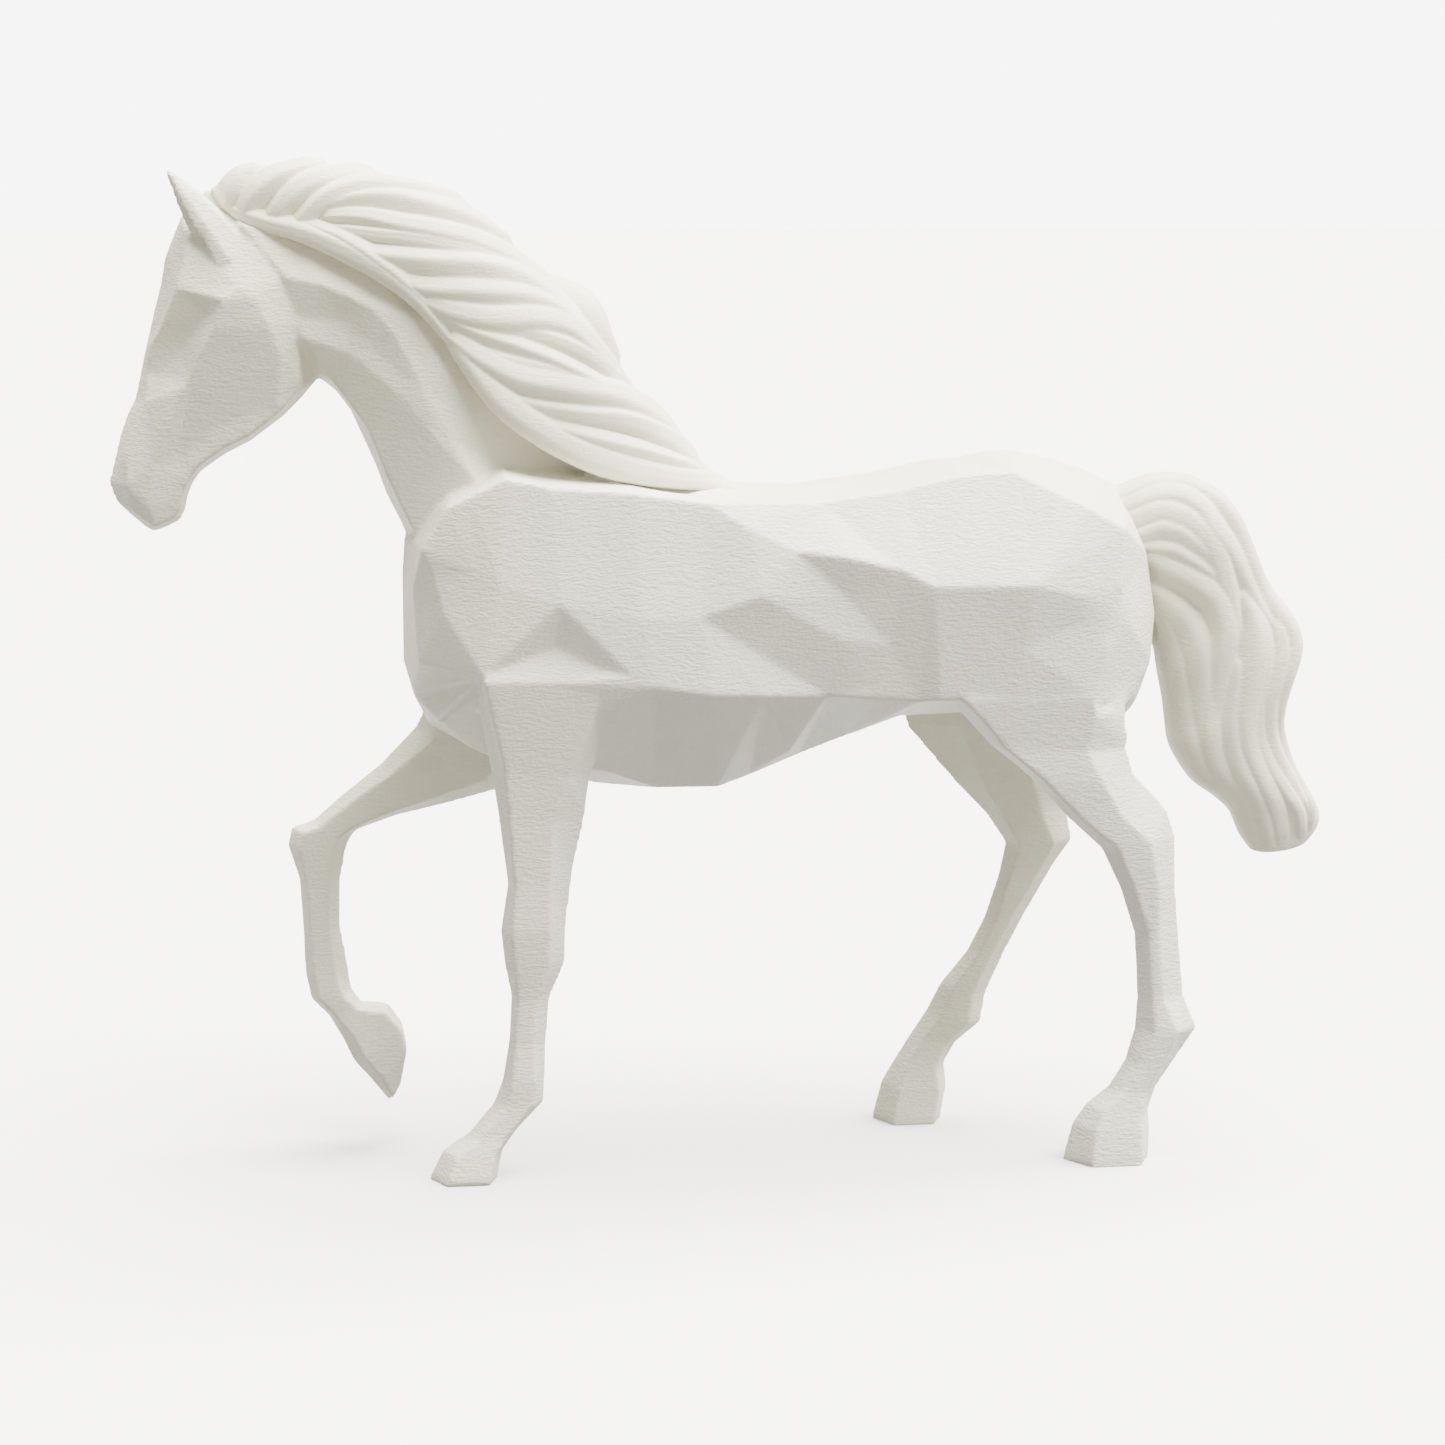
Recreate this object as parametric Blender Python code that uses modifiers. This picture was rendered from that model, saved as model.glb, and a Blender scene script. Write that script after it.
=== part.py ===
# Low-poly walking horse with a flowing carved mane and tail, one cast solid.
# Metres, +Z up. The horse faces -X, its left side faces -Y, and it stands on z = 0.

import math

import bmesh
import bpy
from mathutils import Matrix, Vector
from mathutils.geometry import delaunay_2d_cdt

# Driving dimensions, in metres
horse_length = 0.250       # nose to the outermost curl of the tail
trunk_half_width = 0.030   # widest place, over the ribs and the haunch
neck_half_width = 0.0175   # at the foot of the neck
head_half_width = 0.0135   # over the jowl
mane_half_width = 0.0184   # near the mane's lower edge
tail_half_width = 0.0095   # half the tail's thickness from side to side
elbow_track = 0.0195       # middle of a foreleg at the elbow, from the centre plane
hip_track = 0.0200         # middle of a hind leg at the thigh
near_fore_track = 0.0160   # standing left forefoot
near_hind_track = 0.0190   # standing left hind foot
far_hind_track = 0.0190    # standing right hind foot, set further forward
far_fore_track = 0.0160    # raised right forefoot
lock_relief = 0.0026       # how far a lock of hair stands above the mass under it
hair_voxel = 0.0012        # grain of the blended hair masses
chord_swell = 0.36         # rise of an edge between two outline points, as a share of it
mane_fullness = 2.2        # how late the mane thins towards its upper edge
mane_thin_share = 0.10     # thickness kept at the upper edge, as a share of the lower
mane_lip = 0.08            # share of the mane's height over which its lower edge rounds in
mane_lip_inset = 0.2       # how far it rounds in, as a share of the half width
lock_root = 0.12           # thickness of a lock where it starts, as a share of its middle
lock_end = 0.98            # where the swell of a lock stops, as a share of its length
lock_swell = 0.8           # below 1 a lock is thickest nearer to its root
lock_sides = 8
mane_sweep = 2.2           # how soon a lock of the mane turns up towards the upper edge
mane_facets = 0.16         # share of the blended mane's facets that is kept
tail_facets = 0.20         # the same for the tail
mane_rows = (0.0, 0.04, 0.1, 0.22, 0.4, 0.6, 0.8, 0.93, 1.0)
tail_rows = (0.0, 0.12, 0.3, 0.5, 0.7, 0.88, 1.0)

# The figure is drawn on a length of 250 units, so one unit is a millimetre here.
unit = horse_length / 250.0
ground_line = 1.1          # height of the ground in the drawings
middle_line = -0.41        # where the middle of the figure's length is in the drawings
leg_root = 95.0            # height at which the legs leave the body

# Outlines on the centre plane, as (x, z); corners as (x, half width, z), where a half
# width of 1 is the widest that the mass gets.
trunk_outline = [
    (-66.5, 130), (-67, 122.5), (-67, 113), (-67, 105), (-65, 98), (-62, 92),
    (-52, 86), (-43, 82.5), (-28, 79), (-19, 78), (-3, 77.7), (4, 80), (14, 84),
    (25, 88), (35, 91.5), (50, 92), (68, 91), (79, 88), (84.5, 92), (88, 104),
    (88.5, 112), (87, 125), (83.5, 135.5), (79, 139.5), (73.5, 142), (66, 144.5),
    (58, 146.3), (52, 146), (45, 144.4), (35, 141.4), (24.5, 139.8), (14, 139.3),
    (6, 139), (-2, 139.7), (-10, 141.6), (-23, 143.4), (-38, 145), (-48, 146.2),
    (-57, 142.3), (-63, 136),
]
trunk_corners = {
    "shoulder_front": (-64.6, 0.78, 130), "shoulder_rise": (-59.5, 0.82, 138.6),
    "shoulder_brow": (-55, 0.84, 140.8), "shoulder_top": (-48, 0.87, 144.2),
    "shoulder_back": (-39.5, 0.89, 142.4), "withers_front": (-23, 0.885, 141),
    "withers_back": (-8.5, 0.8, 138.7),
    "breast_high": (-66, 0.55, 122), "breast_low": (-65, 0.55, 107),
    "breast_foot": (-61, 0.55, 95),
    "notch_front": (-62.4, 0.78, 125.5), "notch_top": (-54, 0.875, 125.7),
    "notch_back": (-49.5, 0.93, 123.5), "notch_foot": (-60.5, 0.8, 117.5),
    "shoulder_point": (-38, 0.985, 119.5), "elbow_front": (-53, 0.93, 105.5),
    "elbow_hollow": (-38.5, 0.84, 108.7), "elbow_back": (-24, 0.98, 105.2),
    "keel_1": (-49.5, 0.91, 104), "keel_2": (-38, 0.955, 103.8),
    "keel_3": (-20, 0.985, 102.8), "keel_4": (-8, 0.975, 101), "keel_5": (3, 0.9, 100.3),
    "keel_6": (16, 0.777, 99.6), "keel_7": (26, 0.79, 98.8),
    "girth": (-22, 0.975, 116.3),
    "rib_front": (-10, 0.945, 116.3), "rib_top": (2, 0.975, 120.5),
    "rib_mid": (8.5, 0.93, 116.6), "rib_back": (19, 0.877, 111),
    "rib_foot": (23.5, 0.785, 101),
    "loin_1": (0, 0.87, 133.5), "loin_2": (9, 0.9, 129), "loin_3": (20, 0.936, 127.6),
    "loin_4": (30, 0.935, 125.2), "loin_5": (36.5, 0.975, 121.7),
    "flank_top": (20, 0.86, 119), "flank_mid": (28.5, 0.835, 109.5),
    "flank_foot": (34.5, 0.81, 98.2),
    "croup_1": (15, 0.66, 138), "croup_2": (32, 0.63, 140.3), "croup_3": (43, 0.6, 142.7),
    "croup_4": (54.5, 0.6, 143.5), "croup_5": (62, 0.677, 139.8),
    "croup_6": (70, 0.73, 136), "croup_7": (77, 0.72, 132),
    "hip_low": (57, 1, 121.7), "thigh_top": (75, 0.85, 117),
    "thigh_low": (70, 0.885, 98.2),
    "thigh_front": (55, 0.932, 109), "thigh_foot": (54, 0.892, 99),
    "stifle": (38.5, 0.875, 98.5),
    "buttock_top": (84, 0.36, 126), "buttock_mid": (86, 0.36, 113),
    "buttock_low": (84.5, 0.46, 104), "buttock_foot": (80.5, 0.56, 95),
    "belly_1": (-42, 0.62, 88), "belly_2": (-27, 0.55, 84), "belly_3": (-17, 0.34, 79.5),
    "belly_4": (-4, 0.30, 79.2), "belly_5": (10, 0.45, 87), "belly_6": (28, 0.40, 92),
    "crotch": (60, 0.50, 93.5), "elbow_apex": (-41, 0.78, 91.5),
}
trunk_creases = [
    ("shoulder_front", "shoulder_rise"), ("shoulder_rise", "shoulder_brow"),
    ("shoulder_brow", "shoulder_top"), ("shoulder_top", "shoulder_back"),
    ("shoulder_back", "withers_front"), ("withers_front", "withers_back"),
    ("breast_high", "breast_low"), ("breast_high", "shoulder_front"),
    ("shoulder_front", "notch_front"), ("notch_front", "notch_top"),
    ("notch_top", "notch_back"), ("notch_back", "notch_foot"),
    ("notch_front", "notch_foot"),
    ("shoulder_point", "elbow_front"), ("shoulder_point", "elbow_back"),
    ("shoulder_point", "elbow_hollow"), ("elbow_front", "elbow_hollow"),
    ("elbow_hollow", "elbow_back"), ("elbow_front", "keel_1"),
    ("keel_1", "keel_2"), ("keel_2", "keel_3"), ("keel_3", "keel_4"),
    ("keel_4", "keel_5"), ("keel_5", "keel_6"), ("keel_6", "keel_7"),
    ("keel_7", "flank_foot"), ("elbow_back", "keel_3"),
    ("withers_front", "girth"), ("girth", "keel_3"), ("shoulder_back", "shoulder_point"),
    ("rib_front", "rib_top"), ("rib_top", "rib_mid"), ("rib_mid", "rib_back"),
    ("rib_back", "rib_foot"), ("rib_front", "keel_6"), ("girth", "rib_front"),
    ("withers_back", "loin_1"), ("loin_1", "loin_2"), ("loin_2", "loin_3"),
    ("loin_3", "loin_4"), ("loin_4", "loin_5"), ("loin_2", "flank_top"),
    ("flank_top", "flank_mid"), ("flank_mid", "flank_foot"), ("loin_5", "flank_foot"),
    ("withers_back", "croup_1"), ("croup_1", "croup_2"), ("croup_2", "croup_3"),
    ("croup_3", "croup_4"), ("croup_4", "croup_5"), ("croup_5", "croup_6"),
    ("croup_6", "croup_7"), ("croup_1", "loin_4"), ("loin_5", "hip_low"),
    ("hip_low", "croup_7"), ("hip_low", "thigh_top"), ("croup_7", "thigh_top"),
    ("thigh_top", "thigh_low"), ("hip_low", "thigh_front"),
    ("thigh_front", "thigh_foot"), ("croup_7", "buttock_top"),
    ("keel_1", "elbow_apex"), ("elbow_apex", "keel_3"), ("elbow_apex", "keel_2"),
    ("loin_1", "croup_1"), ("loin_2", "croup_1"), ("loin_2", "rib_top"),
    ("girth", "elbow_back"), ("notch_back", "shoulder_point"),
    ("thigh_foot", "thigh_low"), ("thigh_foot", "stifle"), ("rib_top", "flank_top"),
]

neck_outline = [
    (-84, 163), (-80, 160), (-77, 156), (-75, 151.5), (-72, 144.7), (-70, 139),
    (-67, 133), (-65, 128), (-58, 119), (-35, 122), (-12, 130), (-6, 139),
    (-16, 145), (-30, 153), (-42, 164), (-55, 177), (-70, 189), (-85, 196.5),
    (-98, 199), (-104, 192), (-104, 176), (-95, 165),
]
neck_corners = {
    "poll": (-98, 0.5, 193), "nape_1": (-86, 0.5, 190), "nape_2": (-73, 0.62, 184),
    "nape_3": (-60, 0.68, 173), "nape_4": (-48, 0.58, 161), "nape_5": (-34, 0.42, 149),
    "nape_6": (-20, 0.34, 142), "cord_1": (-89.6, 0.697, 182.9), "cord_2": (-83.1, 0.76, 181.5),
    "cord_3": (-77.3, 0.794, 179.0), "cord_4": (-73.1, 0.823, 176.8),
    "cord_5": (-68.1, 0.857, 170.6), "cord_6": (-63.8, 0.886, 161.8),
    "cord_7": (-57.8, 0.926, 150.9), "cord_8": (-52.9, 1.006, 142.3),
    "hollow_1": (-87.6, 0.617, 175.2), "hollow_2": (-78.3, 0.651, 174.0),
    "hollow_3": (-73.1, 0.714, 169.5), "hollow_4": (-67.4, 0.811, 163.3),
    "throat_1": (-86.7, 0.651, 170.9), "throat_2": (-77.4, 0.657, 167.7),
    "throat_3": (-68.2, 0.806, 159.9), "throat_4": (-61.3, 0.897, 151.7),
    "under_1": (-65.7, 0.834, 175.2), "under_2": (-58.8, 0.857, 163.4),
    "under_3": (-53.6, 0.846, 154.7), "under_4": (-48.8, 0.777, 145.9),
    "windpipe_1": (-80.6, 0.44, 162.0), "windpipe_2": (-74.1, 0.52, 152.9),
    "windpipe_3": (-70.0, 0.543, 142.4), "windpipe_4": (-64.2, 0.589, 130.4), "root": (-40, 0.9, 126),
}
neck_creases = [
    ("poll", "nape_1"), ("nape_1", "nape_2"), ("nape_2", "nape_3"), ("nape_3", "nape_4"),
    ("nape_4", "nape_5"), ("cord_1", "cord_2"), ("cord_2", "cord_3"), ("cord_3", "cord_4"),
    ("cord_4", "cord_5"), ("cord_5", "cord_6"), ("cord_6", "cord_7"), ("cord_7", "cord_8"),
    ("hollow_1", "hollow_2"), ("hollow_2", "hollow_3"), ("hollow_3", "hollow_4"),
    ("throat_1", "throat_2"), ("throat_2", "throat_3"), ("throat_3", "throat_4"),
    ("throat_4", "cord_8"), ("cord_4", "under_1"), ("under_1", "under_2"),
    ("under_2", "under_3"), ("under_3", "under_4"), ("throat_1", "windpipe_1"),
    ("windpipe_1", "windpipe_2"), ("windpipe_2", "windpipe_3"), ("windpipe_3", "windpipe_4"),
    ("cord_1", "hollow_1"), ("hollow_1", "throat_1"), ("windpipe_4", "cord_8"),
]

head_outline = [
    (-113, 186.5), (-114, 181), (-115.5, 175.5), (-116.7, 170.5), (-118, 165),
    (-119.5, 158.5), (-121, 155.7), (-122.5, 151.7), (-124.4, 144.2), (-125, 142.4),
    (-124.5, 140.4), (-123.5, 138), (-120.8, 135.4), (-118, 133), (-116.4, 132),
    (-113.8, 132.9), (-111.2, 134.2), (-110, 136.5), (-109.5, 139.2), (-108.5, 141.6),
    (-106.8, 144), (-102, 147.3), (-97, 149.8), (-90.5, 154.6), (-86.7, 158.3),
    (-83.5, 162), (-78, 170), (-80, 184), (-90, 196), (-98, 200.5), (-105, 199.5),
    (-109.5, 195),
]
head_corners = {
    "brow_front": (-110.8, 0.696, 180.7), "brow_back": (-98.6, 0.985, 180.8),
    "brow_end": (-96, 1, 178.7), "eye": (-101.8, 1.0, 178.5),
    "ear_root": (-104, 0.62, 190), "poll_side": (-95, 0.66, 191),
    "temple": (-109, 0.58, 188),
    "orbit_front": (-113.4, 0.504, 174.4), "orbit_low": (-116.1, 0.326, 169.4),
    "face_1": (-116.8, 0.252, 164.4), "face_2": (-113.4, 0.563, 159.7),
    "face_3": (-106.4, 0.83, 168.5), "face_4": (-103.6, 0.941, 173.3),
    "cheek_top": (-93.2, 0.974, 173.4), "cheek_back": (-91.2, 0.887, 167.9),
    "cheek_low": (-91.5, 0.739, 159.8), "jaw_1": (-97, 0.638, 156), "jaw_2": (-101.6, 0.575, 154),
    "jaw_3": (-106.4, 0.508, 151.9), "jaw_4": (-108, 0.455, 149.5), "jaw_5": (-110.5, 0.404, 147.5),
    "lip_back": (-112, 0.4, 143.3), "chin": (-113.5, 0.36, 138.5),
    "cheek_front": (-109.1, 0.696, 161.8),
    "socket_1": (-105.3, 0.719, 175.5), "socket_2": (-110.0, 0.43, 169.4),
    "socket_3": (-114.9, 0.281, 163.6),
    "rim_1": (-87.8, 0.60, 160), "rim_2": (-91.4, 0.68, 156.3), "rim_3": (-97.4, 0.62, 151.5),
    "rim_4": (-102.6, 0.55, 149), "rim_5": (-107.4, 0.48, 145.6), "rim_6": (-109.5, 0.43, 142.4),
    "rim_7": (-110.6, 0.38, 139.6), "rim_8": (-111, 0.34, 137), "rim_9": (-112, 0.31, 135.3),
    "rim_10": (-116.2, 0.28, 133.3), "rim_11": (-120.3, 0.26, 136.5),
    "band_top": (-90.3, 0.84, 183), "band_mid": (-87.3, 0.80, 174),
    "band_low": (-87.4, 0.66, 162.5),
    "bridge_1": (-117.5, 0.36, 158), "bridge_2": (-121.5, 0.34, 147),
    "nostril": (-121.5, 0.38, 141.7), "muzzle": (-117.5, 0.4, 137.5),
    "muzzle_top": (-116.5, 0.48, 146),
}
head_creases = [
    ("brow_front", "brow_back"), ("brow_back", "brow_end"), ("brow_back", "eye"),
    ("socket_1", "socket_2"), ("socket_2", "socket_3"),
    ("socket_1", "eye"), ("rim_1", "rim_2"), ("rim_2", "rim_3"), ("rim_3", "rim_4"),
    ("rim_4", "rim_5"), ("rim_5", "rim_6"), ("rim_6", "rim_7"), ("rim_7", "rim_8"),
    ("rim_8", "rim_9"), ("rim_9", "rim_10"), ("rim_10", "rim_11"),
    ("eye", "face_4"), ("face_4", "face_3"), ("face_3", "cheek_front"), ("eye", "brow_end"),
    ("brow_front", "orbit_front"), ("orbit_front", "orbit_low"), ("orbit_low", "face_1"),
    ("cheek_front", "face_2"), ("face_1", "socket_3"), ("orbit_front", "socket_1"),
    ("brow_end", "cheek_top"), ("cheek_top", "cheek_back"),
    ("cheek_back", "cheek_low"), ("cheek_low", "jaw_1"), ("jaw_1", "jaw_2"),
    ("jaw_2", "jaw_3"), ("jaw_3", "jaw_4"), ("jaw_4", "jaw_5"), ("jaw_5", "lip_back"),
    ("lip_back", "chin"), ("cheek_front", "jaw_5"),
    ("band_top", "band_mid"), ("band_mid", "band_low"), ("face_1", "bridge_1"),
    ("bridge_1", "bridge_2"), ("bridge_2", "nostril"), ("cheek_front", "muzzle_top"),
]

# Legs: stations from the body down to the toe. Each has its front point and its back point
# on the leg's own plane as x, z, x, z, then half its thickness, and the shares of the way
# from front to back at which the leg is that thick. Standing feet run on below the ground.
near_fore_stations = [
    (-52, 112, -32, 112, 6.0, 0.20, 0.88), (-54.5, 104.3, -27, 104, 9.2, 0.06, 0.92),
    (-51.2, 86.5, -31, 84, 6.0, 0.12, 0.74), (-49.5, 75.5, -32.3, 75.2, 5.1, 0.10, 0.60),
    (-47.8, 62, -34.8, 63, 4.7, 0.08, 0.63), (-49.3, 52.5, -36, 54, 4.9, 0.14, 0.72),
    (-48.6, 46, -36.2, 46, 4.3, 0.14, 0.70), (-47.2, 39, -39.3, 38.5, 3.5, 0.12, 0.62),
    (-47.7, 29.5, -40.2, 28.5, 3.4, 0.12, 0.62), (-49, 21.8, -40.5, 21, 4.2, 0.18, 0.74),
    (-51, 16.5, -40.7, 16.8, 4.1, 0.20, 0.76), (-56.5, 10, -46.2, 11, 4.7, 0.22, 0.80),
    (-61.3, 7, -49, 7, 5.7, 0.20, 0.84), (-63.5, 2.6, -50, 2.5, 6.8, 0.22, 0.84),
    (-65.2, -2, -50.4, -2, 7.3, 0.24, 0.84),
]
near_hind_stations = [
    (50, 112, 68, 112, 5.0, 0.10, 0.80), (41, 98.2, 76, 98.6, 6.8, 0.07, 0.82),
    (45, 94, 79.6, 95, 6.3, 0.07, 0.73),
    (50, 88.5, 78.4, 87, 5.5, 0.07, 0.66), (58.5, 81.5, 80, 81.8, 5.8, 0.08, 0.62),
    (66, 73.3, 87, 74.2, 5.2, 0.10, 0.50), (73.4, 66.5, 88.8, 69, 4.9, 0.16, 0.60),
    (77.5, 58, 89.3, 58.5, 4.4, 0.18, 0.60), (80.6, 48.5, 90.2, 49, 3.9, 0.24, 0.44),
    (81.5, 35, 91.5, 35, 3.8, 0.24, 0.46), (81, 28.3, 94.3, 28.3, 4.5, 0.26, 0.62),
    (79.2, 21.8, 90, 22, 4.3, 0.22, 0.66), (75.6, 16, 85.8, 15.8, 4.5, 0.22, 0.70),
    (71, 12.6, 84.3, 11, 5.5, 0.20, 0.80), (68.3, 8.8, 84.7, 7.5, 6.4, 0.22, 0.82),
    (66.8, 3.2, 84.6, 3, 7.2, 0.24, 0.82), (65.8, -2, 84.3, -2, 7.7, 0.26, 0.82),
]
far_hind_stations = [
    (44, 113, 80, 114, 8.6, 0.30, 0.74), (37, 98, 83, 104, 8.5, 0.30, 0.72),
    (40.5, 86, 79, 90, 7.4, 0.26, 0.66), (50, 75, 75.5, 78, 6.2, 0.20, 0.62),
    (58, 66.5, 75, 68.5, 5.2, 0.16, 0.62), (62, 60.5, 76.6, 61, 4.9, 0.14, 0.66),
    (60.6, 53.8, 72.6, 55.4, 4.4, 0.14, 0.64), (57.5, 44.5, 66.5, 45, 3.9, 0.20, 0.56),
    (53.8, 37.3, 62.2, 37, 3.8, 0.22, 0.54), (48, 30.3, 58, 28, 4.1, 0.20, 0.64),
    (45, 24.5, 56.8, 21.5, 4.5, 0.20, 0.70), (41.3, 19, 51.5, 17.3, 4.3, 0.20, 0.70),
    (37.8, 13.5, 49, 13, 4.9, 0.20, 0.76), (35.3, 9.3, 49.5, 8, 5.9, 0.20, 0.82),
    (33.6, 3, 48.5, 2.5, 6.8, 0.22, 0.82), (32.8, -2, 48, -2, 7.3, 0.24, 0.82),
]
far_fore_stations = [
    (-58, 100, -34, 84, 7.2, 0.20, 0.80), (-63.5, 88.5, -46, 75, 6.2, 0.18, 0.78),
    (-71, 80.8, -57, 72.2, 5.3, 0.16, 0.76), (-79, 74.5, -68, 69.8, 4.7, 0.16, 0.76),
    (-85, 69.3, -76.2, 67, 4.7, 0.16, 0.76), (-89.6, 67.9, -77.4, 65.4, 4.7, 0.18, 0.76),
    (-90.5, 64.3, -78.4, 63, 4.6, 0.18, 0.76),
    (-88.2, 57, -79.6, 57, 4.0, 0.16, 0.70), (-87.6, 46, -79.8, 47, 3.6, 0.20, 0.66),
    (-87.3, 37, -78.3, 38.5, 3.8, 0.20, 0.66), (-86.2, 31.8, -77.6, 33.5, 4.4, 0.20, 0.72),
    (-82.5, 28, -75.5, 30.5, 4.3, 0.20, 0.80), (-80, 23.5, -70, 30, 5.2, 0.20, 0.90),
    (-77.6, 18.3, -67.3, 26, 5.9, 0.22, 0.96), (-73.5, 13.6, -66.4, 21.5, 5.6, 0.24, 0.96),
    (-70.3, 9.5, -67.8, 14, 3.8, 0.30, 0.94),
]

# Ears: middle of the base and the tip as (x, y, z), and for stations between them the
# share of the way, half the width and half the depth.
ear_base = (-99.6, 7.0, 186.6)
ear_tip = (-112.3, 5.8, 203.4)
ear_stations = [(0.0, 3.4, 5.0), (0.42, 3.4, 4.1), (0.70, 2.5, 2.8), (1.0, 0.4, 0.4)]

ear_facing = (0.94, 0.34)      # which way the hollow looks, forwards and outwards
ear_section = [(-1.0, 0.0), (-0.45, 0.95), (0.55, 1.0), (1.0, 0.55), (0.1, 0.1),
               (0.85, -0.6), (0.0, -1.0)]

# The mane lies between its lower edge on the neck and its wind-blown upper edge.
mane_lower_edge = [
    (-100.8, 196.4), (-95.0, 192.8), (-86.6, 190.3), (-77.9, 186.2), (-70.3, 181.8),
    (-62.8, 175.0), (-55.6, 165.8), (-48.4, 156.4), (-38.2, 148.7),
    (-25.7, 142.1), (-7.8, 140.0),
]
mane_upper_edge = [
    (-104, 199.2), (-97.9, 204.3), (-86.1, 204.5), (-70.4, 202.6), (-58.5, 198.9),
    (-46.5, 191.2), (-34.7, 181.6), (-25.8, 173.6), (-17, 161), (-7.8, 149.4), (0, 140.2),
]
mane_edge_widths = [0.29, 0.42, 0.53, 0.64, 0.74, 0.82, 0.90, 0.96, 1.0, 0.91, 0.56]

# Locks of the mane: where each starts and ends along the neck, how high it starts and
# ends between the two edges, and its width in units.
mane_locks = [
    (0.02, 0.16, 0.14, 0.93, 5.5), (0.08, 0.24, 0.14, 0.95, 6.0),
    (0.14, 0.33, 0.15, 0.94, 6.0), (0.20, 0.44, 0.30, 0.93, 6.0),
    (0.24, 0.58, 0.16, 0.91, 6.5), (0.30, 0.62, 0.15, 0.78, 6.0),
    (0.36, 0.66, 0.14, 0.82, 6.0), (0.41, 0.78, 0.14, 0.91, 6.5),
    (0.46, 0.76, 0.14, 0.72, 6.0), (0.50, 0.84, 0.14, 0.84, 6.5),
    (0.58, 0.88, 0.15, 0.70, 6.0), (0.64, 0.94, 0.16, 0.78, 6.0),
    (0.70, 0.97, 0.14, 0.60, 6.0), (0.50, 0.99, 0.13, 0.17, 6.5),
]

# The tail lies between its inner edge, towards the legs, and its outer edge.
tail_inner_edge = [
    (80, 129), (87.5, 120), (91.2, 111), (92.6, 106.5), (93.8, 101), (94.4, 94), (95, 88),
    (95.8, 83), (98.5, 79.5), (104.5, 73.2), (108.5, 69), (110.5, 65), (112.8, 59.8),
]
tail_outer_edge = [
    (80, 140.5), (91, 141.4), (101, 138.5), (107, 131), (110.5, 120.5), (119, 110.5),
    (121, 104), (117.5, 95.5), (116.4, 87), (118.5, 80.5), (123.5, 72.5), (124.2, 66),
    (119.5, 62.3),
]
tail_widths = [0.50, 0.80, 0.95, 1.0, 1.0, 1.0, 0.98, 0.94, 0.90, 0.84, 0.76, 0.64, 0.42]

# Locks of the tail: start and end along it, start and end across it, and width in units.
tail_locks = [
    (0.02, 0.55, 0.85, 0.95, 6.0), (0.04, 0.98, 0.65, 0.78, 6.5),
    (0.05, 0.90, 0.45, 0.48, 6.5), (0.06, 0.45, 0.25, 0.62, 6.0),
    (0.16, 0.97, 0.10, 0.20, 6.5), (0.38, 0.99, 0.72, 0.96, 6.0),
    (0.12, 0.70, 0.30, 0.34, 6.0),
]


def place(name, bm, collection):
    """Make an object of a mass drawn in units, standing on z = 0."""
    mesh = bpy.data.meshes.new(name)
    bmesh.ops.recalc_face_normals(bm, faces=bm.faces)
    bm.transform(Matrix.Scale(unit, 4) @ Matrix.Translation((-middle_line, 0, -ground_line)))
    bm.to_mesh(mesh)
    bm.free()
    obj = bpy.data.objects.new(name, mesh)
    collection.objects.link(obj)
    return obj


def relief(outline, corners, creases, width):
    """Closed solid, alike on both sides of its plane: facets run from the outline to the
    corners, which stand out by their half widths."""
    names = list(corners)
    flat = [Vector(point) for point in outline]
    flat += [Vector((x, z)) for x, depth, z in corners.values()]
    depths = [0.0] * len(outline) + [depth * width for x, depth, z in corners.values()]
    edges = [(len(outline) + names.index(a), len(outline) + names.index(b)) for a, b in creases]
    loop = list(range(len(outline)))
    points, _, faces, sources, _, _ = delaunay_2d_cdt(flat, edges, [loop], 1, 1e-6)
    bm = bmesh.new()
    verts = []
    for point, source in zip(points, sources):
        depth = depths[source[0]] if source else 0.0
        verts.append(bm.verts.new((point.x, -depth, point.y)))
    for face in faces:
        bm.faces.new([verts[i] for i in face])
    chords = [edge for edge in bm.edges
              if len(edge.link_faces) == 2 and not any(vert.co.y for vert in edge.verts)]
    lengths = {edge: edge.calc_length() for edge in chords}
    for chord in chords:
        swell = chord_swell * lengths[chord]
        split = bmesh.ops.subdivide_edges(bm, edges=[chord], cuts=1)["geom_inner"]
        for vert in split:
            if isinstance(vert, bmesh.types.BMVert):
                vert.co.y = -swell
    bmesh.ops.triangulate(bm, faces=bm.faces[:])
    bmesh.ops.mirror(bm, geom=bm.verts[:] + bm.faces[:], axis="Y", merge_dist=1e-4)
    return bm


def cut_at_ground(bm):
    """Take away what lies below the ground line and close the foot with one flat sole."""
    geometry = bm.verts[:] + bm.edges[:] + bm.faces[:]
    cut = bmesh.ops.bisect_plane(bm, geom=geometry, plane_co=(0, 0, ground_line),
                                 plane_no=(0, 0, -1), clear_outer=True)
    rim = [item for item in cut["geom_cut"] if isinstance(item, bmesh.types.BMEdge)]
    bmesh.ops.edgeloop_fill(bm, edges=rim)


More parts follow.
